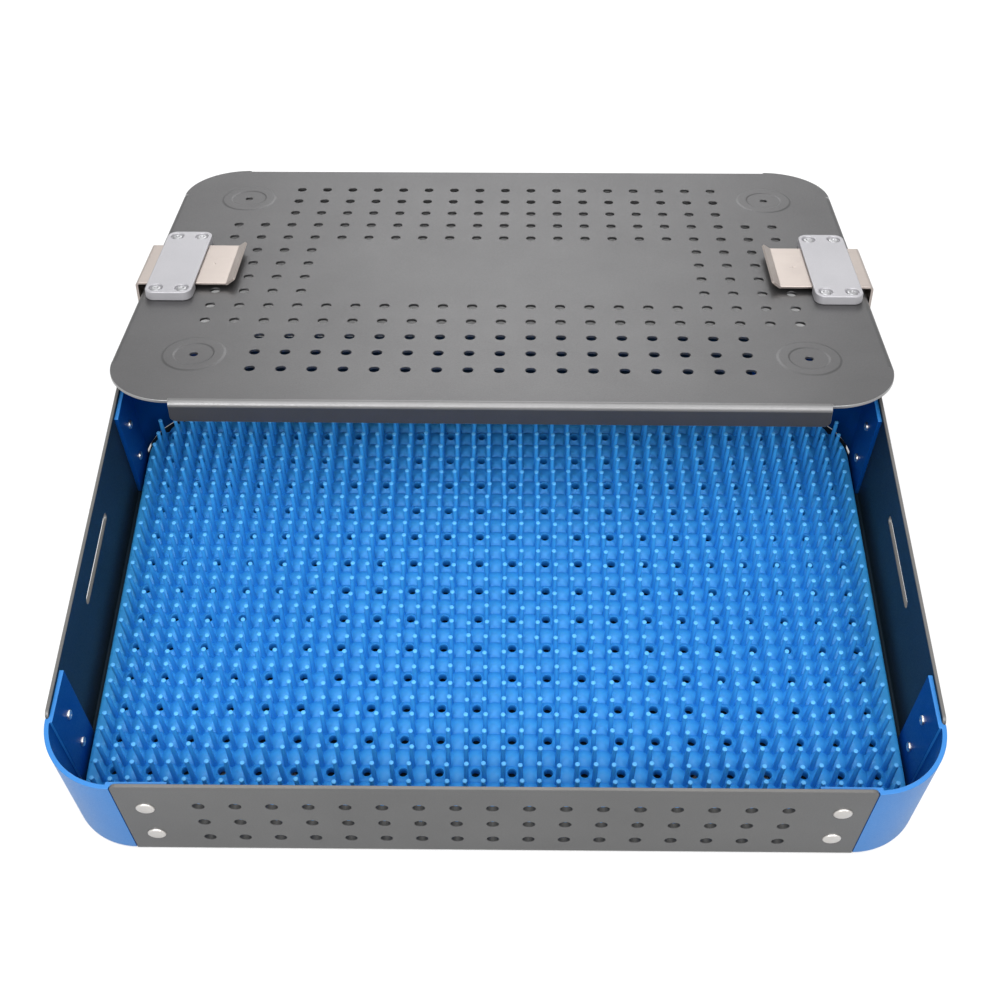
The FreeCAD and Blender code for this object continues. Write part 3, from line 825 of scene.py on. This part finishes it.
def make_mat():
    """The finger mat: domed base with drain holes, rib under its rim, field of tapering fingers."""
    build = Build()
    edge = cell_edge(5)
    for i in range(-22, 23):
        for j in range(29):
            cx, cy = i * CELL, FIRST_CELL_Y + j * CELL
            if any(inside_mat(cx + x, cy + y, 0.0) for x, y in edge):
                make_mat_cell(build, cx, cy, edge)
    close_sides(build)
    base = build.object("finger_mat_base", [SILICONE], angle=50, weld=0.01)

    # The rib that the mat stands on, all round under its rim.
    rib = Build()
    loop = tidy_loop(rounded(MAT_X, MAT_HALF_Y, MAT_RADIUS, 16))
    outline = [(x, y + MAT_MIDDLE) for x, y in loop]
    n = len(outline)
    rows = []
    low, top = MAT_Z[0], MAT_UNDER + 0.1
    for depth, z in ((0.0, top), (0.0, low + 0.4), (0.4, low), (2.6, low), (3.0, top)):
        rows.append([(x, y, z) for x, y in inset(outline, [depth] * n)])
    for a, b in zip(rows, rows[1:] + rows[:1]):
        rib.add(a + b, ring_faces(0, n, n))
    side = rib.object("finger_mat_side", [SILICONE], angle=50)

    fingers = Build()
    sides = 10
    # Height above the foot and radius, then height below the tip and radius.
    foot = ((0.0, 1.75), (0.5, 1.45), (1.3, 1.25), (4.0, 1.16))
    top = ((6.0, 1.07), (1.6, 0.98), (1.1, 0.99), (0.7, 1.08), (0.3, 1.1), (0.06, 1.0), (0.0, 0.84))
    for i in range(44):
        for m in range(28):
            x, y = FIRST_FINGER[0] + CELL * i, FIRST_FINGER[1] + CELL * m
            if not inside_mat(x, y, 4.0):
                continue
            lean_x = random.gauss(0, 0.018)
            lean_y = random.gauss(-0.004, 0.018)
            low = mat_height(x, y) - 0.25
            high = (TIP_Z - low) * random.uniform(0.985, 1.0)
            turn = random.uniform(0, 2 * math.pi / sides)
            profile = list(foot) + [(high - h, r) for h, r in top]
            points, faces = [], []
            for h, r in profile:
                bend = h * h / high
                px, py = x + lean_x * bend, y + lean_y * bend
                for k in range(sides):
                    a = turn + 2 * math.pi * k / sides
                    points.append((px + r * math.cos(a), py + r * math.sin(a), low + h))
            for r in range(len(profile) - 1):
                faces += ring_faces(r * sides, (r + 1) * sides, sides)
            faces.append(tuple(range((len(profile) - 1) * sides, len(profile) * sides)))
            faces.append(tuple(reversed(range(sides))))
            fingers.add(points, faces)
    tips = fingers.object("finger_mat_fingers", [FINGERS], angle=70, weld=0)
    for obj in (base, side, tips):
        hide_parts("finger_mat")
        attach(obj, "mat")


def close_sides(build):
    """Joins the open upper rim of the mat to the open lower one straight below it."""
    points = build.points
    on_rim = [not inside_mat(p[0], p[1], 0.02) for p in points]
    seen = {}
    for face in build.faces:
        for a, b in zip(face, face[1:] + face[:1]):
            if on_rim[a] and on_rim[b]:
                ends = [tuple(round(v, 2) for v in points[k]) for k in (a, b)]
                if ends[0] != ends[1]:
                    seen.setdefault(tuple(sorted(ends)), []).append((a, b))
    for places in seen.values():
        a, b = (points[k] for k in places[0])
        if len(places) == 1 and min(a[2], b[2]) > MAT_UNDER + 0.5:
            build.add([a, b, (b[0], b[1], MAT_UNDER), (a[0], a[1], MAT_UNDER)], [(0, 1, 2, 3)])


# ---------------------------------------------------------------- lid

def lid_holes():
    """Where the lid is perforated: bare in the middle and round the four roundels."""
    columns, rows = LID_HOLES
    places = []
    for k, place in enumerate(hole_grid(LID_HOLES, LID_PITCH, LID_OFFSET)):
        i, j = divmod(k, rows)
        side, end = min(i, columns - 1 - i), min(j, rows - 1 - j)
        by_roundel = side < 2 and end < 3
        in_middle = side >= 4 and end >= 5
        if not by_roundel and not in_middle:
            places.append(place)
    return places


def roundel_lift(x, y):
    """A flat ring pressed up round each corner hole."""
    d = math.hypot(abs(x) - ROUNDEL[0], abs(y - LID_OFFSET) - ROUNDEL[1])
    return RING_HEIGHT * smooth(d, *RING_IN) * (1 - smooth(d, *RING_OUT))


def make_lid():
    """The lid sheet: perforated panel, round corners, four bent flanges."""
    build = Build()
    half_x, half_y = LID[0] / 2, LID[1] / 2
    run = BEND
    inset_edge = 1.0  # the round corners stand back from the flanges
    end_half = half_x - LID_CORNER
    side_half = half_y - LID_CORNER
    r = LID_CORNER - inset_edge
    px, py = half_x - inset_edge, half_y - inset_edge
    outline = [(half_x - run, -side_half), (half_x - run, side_half)]
    joined = [0]
    outline += arc(px - r, py - r, r, 0, 90, 20)
    joined.append(len(outline))
    outline += [(end_half, half_y - run), (-end_half, half_y - run)]
    outline += arc(r - px, py - r, r, 90, 180, 20)
    joined.append(len(outline))
    outline += [(run - half_x, side_half), (run - half_x, -side_half)]
    outline += arc(r - px, r - py, r, 180, 270, 20)
    joined.append(len(outline))
    outline += [(-end_half, run - half_y), (end_half, run - half_y)]
    outline += arc(px - r, r - py, r, 270, 360, 20)
    holes = lid_holes()
    rings = []
    for i in (-1, 1):
        for j in (-1, 1):
            x, y = i * ROUNDEL[0], j * ROUNDEL[1] + LID_OFFSET
            holes.append((x, y, ROUNDEL_HOLE))
            rings += [(x, y, start + (end - start) * k / 6, 64)
                      for start, end in (RING_IN, RING_OUT) for k in range(7)]
    plate(build, outline, holes, LID_SHEET, LID_SOFT, joined=joined, rings=rings, lift=roundel_lift)

    tip = 3.0  # radius of the flanges' corners
    rows = fold_rows(BEND - LID_SHEET, LID_SHEET, 8)
    down = (Matrix.Translation((0, 0, LID_SHEET / 2)) @ Matrix.Diagonal((1, 1, -1, 1))
            @ Matrix.Translation((0, 0, -LID_SHEET / 2)))
    for half, sides, distance in ((end_half, ("front", "rear"), half_y),
                                  (side_half, ("left", "right"), half_x)):
        wall = [(-half, BEND), (half, BEND)] + arc(half - tip, FLANGE - tip, tip, 0, 90, 6)
        wall += arc(tip - half, FLANGE - tip, tip, 90, 180, 6)
        for side in sides:
            at = down @ side_matrix(side, distance)
            plate(build, wall, (), LID_SHEET, LID_SOFT, joined=(0,), at=at @ UPRIGHT)
            # The front bend takes the lighter bend colour, a painted highlight.
            kind = 2 if side == "front" else 0
            strip(build, rows[0], rows[1], [half] * len(rows[0]), at, kind)
    obj = build.object("lid_sheet_detailed", [LID_GREY, LID_EDGE_HIGHLIGHT, LID_BEND_HIGHLIGHT], LID_PLACE,
                       angle=30, flat=True)
    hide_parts("lid_sheet")
    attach(obj, "lid")


def screw_places(side):
    """Where the four screws of a block stand."""
    return [(side * BLOCK_X + i * SCREWS[0] / 2, LID_OFFSET + j * SCREWS[1] / 2)
            for i in (-1, 1) for j in (-1, 1)]


def make_block(name, side):
    """A latch block: rounded bar with a channel under it and four recesses for its screws."""
    width, length, height, radius = BLOCK
    top = LID_SHEET + height
    build = Build()
    bar = rounded(width / 2, length / 2, radius)
    prism(build, [(x + side * BLOCK_X, y + LID_OFFSET) for x, y in bar], LID_SHEET, top)
    obj = build.object("latch_block_%s_soft" % name, [BLOCK_METAL])
    cutters = []
    channel = Build()
    w = PLATE_WIDTH / 2 + 0.4
    x, y = side * BLOCK_X, LID_OFFSET
    prism(channel, [(x - width, y - w), (x + width, y - w), (x + width, y + w), (x - width, y + w)],
          LID_SHEET - 1, LID_SHEET + PLATE_LIFT + PLATE_SHEET + 0.3)
    cutters.append(channel.object("channel", []))
    wide, deep = RECESS
    for x, y in screw_places(side):
        recess = Build()
        lathe(recess, [(0, top - deep), (wide, top - deep), (wide, top + 1), (0, top + 1)],
              Matrix.Translation((x, y, 0)), 40)
        cutters.append(recess.object("recess", []))
    cut(obj, cutters)
    bevel(obj, 0.6, 3, 50)
    obj.data.transform(Matrix.Scale(0.001, 4) @ LID_PLACE @ Matrix.Scale(1000, 4))
    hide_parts("latch_block_" + name)
    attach(obj, "lid")


def make_screws(name, side):
    """Four round screws in the recesses of a block."""
    build = Build()
    seat = LID_SHEET + BLOCK[2] - RECESS[1]
    profile = [(0.0, seat + 0.62), (1.0, seat + 0.62), (1.15, seat + 0.92), (1.6, seat + 1.0),
               (2.3, seat + 0.9), (2.75, seat + 0.55), (2.9, seat + 0.1), (2.9, seat),
               (1.5, seat), (1.5, -0.5), (1.2, -0.8), (0.0, -0.8)]
    for x, y in screw_places(side):
        lathe(build, profile, Matrix.Translation((x, y, 0)), 32)
    obj = build.object("latch_screws_%s_turned" % name, [SCREW], LID_PLACE, angle=40)
    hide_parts("latch_screws_" + name)
    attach(obj, "lid")


def make_latch_plate(name, side):
    """A latch plate: lip turned up inside, flat run, leg down outside, hook turned in."""
    build = Build()
    under = LID_SHEET + PLATE_LIFT
    t = PLATE_SHEET
    leg_out = LID[0] / 2 + 0.3 + PLATE_OUT + t
    hook_tip = TRAY[0] / 2 - SHEET - 2.0 + PLATE_OUT
    hook_low = -18.3 - t / 2
    r = 1.8  # outer radius of the bends
    lip_x = LID[0] / 2 - 45.5
    half = PLATE_WIDTH / 2
    slope = 35.0
    lip_r = 1.0

    # Rows are (x, z), with x out of the lid, and the strip's length runs along y.
    turn = Matrix(((0, 1, 0, 0), (-1, 0, 0, 0), (0, 0, 1, 0), (0, 0, 0, 1)))
    dimple = lip_x + 10.5

    def dent(x, y):
        """The detent dimple."""
        return -0.5 * (1 - smooth(math.hypot(x - dimple, y), 0.1, 0.9))

    bend_x, lip_end = leg_out - r, lip_x + lip_r
    flat = [(lip_end, -half), (bend_x, -half), (bend_x, half), (lip_end, half)]
    rings = [(dimple, 0, q, 20) for q in (0.1, 0.3, 0.5, 0.7, 0.9)]
    plate(build, flat, (), t, soft=0.16, joined=(1, 3), rings=rings, lift=dent,
          at=Matrix.Translation((0, 0, under)))

    # Bend, leg, bend, hook.
    upper, lower = under + t - r, hook_low + r
    outer = arc(bend_x, upper, r, 90, 0, 6) + arc(bend_x, lower, r, 0, -90, 6)
    inner = arc(bend_x, upper, r - t, 90, 0, 6) + arc(bend_x, lower, r - t, 0, -90, 6)
    outer.append((hook_tip, hook_low))
    inner.append((hook_tip, hook_low + t))
    strip(build, outer, inner, [half] * len(outer), turn, cap=True)

    # Lip: a small bend, then a short run with cut corners.
    c, s = math.cos(math.radians(slope)), math.sin(math.radians(slope))
    up, low = [], []
    for k in range(5):
        a = math.radians(slope * k / 4)
        low.append((lip_end - (lip_r + t) * math.sin(a), under + (lip_r + t) * (1 - math.cos(a))))
        up.append((lip_end - lip_r * math.sin(a), under + t + lip_r * (1 - math.cos(a))))
    halves = [half] * 5
    for run, narrow in ((3.6, 0.5), (4.3, 0.9), (4.5, 1.3)):
        low.append((low[4][0] - c * run, low[4][1] + s * run))
        up.append((up[4][0] - c * run, up[4][1] + s * run))
        halves.append(half - narrow)
    strip(build, up, low, halves, turn, cap=True)
    place = LID_PLACE @ Matrix.Translation((0, LID_OFFSET, 0)) @ Matrix.Diagonal((side, 1, 1, 1))
    obj = build.object("latch_plate_%s_bent" % name, [STEEL, STEEL], place, flat=True)
    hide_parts("latch_plate_" + name)
    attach(obj, "latch_" + name)


# ---------------------------------------------------------------- surroundings

def ray_level(tree, levels):
    """The sum of levels for the kinds of ray that are on, such as Is Camera Ray."""
    seen = tree.nodes.new("ShaderNodeLightPath")
    total = None
    for kind, level in levels:
        times = tree.nodes.new("ShaderNodeMath")
        times.operation = "MULTIPLY_ADD"
        tree.links.new(seen.outputs[kind], times.inputs[0])
        times.inputs[1].default_value = level
        times.inputs[2].default_value = 0.0
        if total:
            tree.links.new(total, times.inputs[2])
        total = times.outputs["Value"]
    return total


def make_floor():
    """A pale seamless floor that glows a little, except close to the object."""
    mat = principled("floor_white", (0.45, 0.45, 0.45), roughness=0.9)
    near = node(mat, "ShaderNodeAmbientOcclusion", samples=12, Distance=0.09)
    open_sky = ramp(mat, near.outputs["AO"], 0.0, 0.45, 0.1, 0.42)
    levels = ray_level(mat.node_tree, (("Is Camera Ray", 1.2), ("Is Glossy Ray", 0.35),
                                       ("Is Transmission Ray", 0.35)))
    strength = node(mat, "ShaderNodeMath", operation="MULTIPLY")
    link(mat, open_sky, strength.inputs[0])
    link(mat, levels, strength.inputs[1])
    glow = node(mat, "ShaderNodeEmission")
    link(mat, strength.outputs["Value"], glow.inputs["Strength"])
    both = node(mat, "ShaderNodeAddShader")
    link(mat, shader(mat).outputs["BSDF"], both.inputs[0])
    link(mat, glow.outputs["Emission"], both.inputs[1])
    link(mat, both.outputs["Shader"], mat.node_tree.nodes["Material Output"].inputs["Surface"])
    build = Build()
    size, z = FLOOR
    build.add([(-size, -size, z), (size, -size, z), (size, size, z), (-size, size, z)],
              [(0, 1, 2, 3)])
    floor = build.object("floor", [mat])


def make_light():
    """A soft even sky, white where it is seen or mirrored, and four broad lamps."""
    world = bpy.data.worlds.new("studio")
    bpy.context.scene.world = world
    world.use_nodes = True
    tree = world.node_tree
    tree.nodes.clear()
    out = tree.nodes.new("ShaderNodeOutputWorld")
    soft = tree.nodes.new("ShaderNodeBackground")
    soft.inputs["Color"].default_value = (1, 1, 1, 1)
    soft.inputs["Strength"].default_value = SKY_LIGHT
    white = tree.nodes.new("ShaderNodeBackground")
    white.inputs["Color"].default_value = (1, 1, 1, 1)
    white.inputs["Strength"].default_value = SKY_SEEN
    mix = tree.nodes.new("ShaderNodeMixShader")
    levels = ray_level(tree, (("Is Camera Ray", 1.0), ("Is Glossy Ray", 1.0),
                              ("Is Transmission Ray", 1.0)))
    tree.links.new(levels, mix.inputs["Fac"])
    tree.links.new(soft.outputs["Background"], mix.inputs[1])
    tree.links.new(white.outputs["Background"], mix.inputs[2])
    tree.links.new(mix.outputs["Shader"], out.inputs["Surface"])

    for name, where, size, power in LAMPS:
        lamp = bpy.data.lights.new(name, "AREA")
        lamp.shape = "DISK"
        lamp.size = size
        lamp.energy = power
        obj = bpy.data.objects.new(name, lamp)
        obj.location = where
        obj.rotation_mode = "QUATERNION"
        obj.rotation_quaternion = (Vector(LAMP_AIM) - Vector(where)).to_track_quat("-Z", "Y")
        bpy.context.scene.collection.objects.link(obj)


def make_camera():
    """The photograph's viewpoint."""
    data = bpy.data.cameras.new("camera")
    data.sensor_width = 36.0
    data.lens = CAMERA_LENS
    data.shift_x, data.shift_y = CAMERA_SHIFT
    data.clip_start = 0.01
    cam = bpy.data.objects.new("camera", data)
    cam.location = CAMERA
    cam.rotation_euler = [math.radians(a) for a in CAMERA_TURN]
    bpy.context.scene.collection.objects.link(cam)
    bpy.context.scene.camera = cam


make_camera()
make_floor()
make_light()
make_tray()
make_corners()
make_rivets()
for name, side in (("left", -1), ("right", 1)):
    make_block(name, side)
    make_screws(name, side)
    make_latch_plate(name, side)
make_lid()
make_mat()

bpy.context.scene.view_settings.view_transform = "Standard"
bpy.context.view_layer.update()
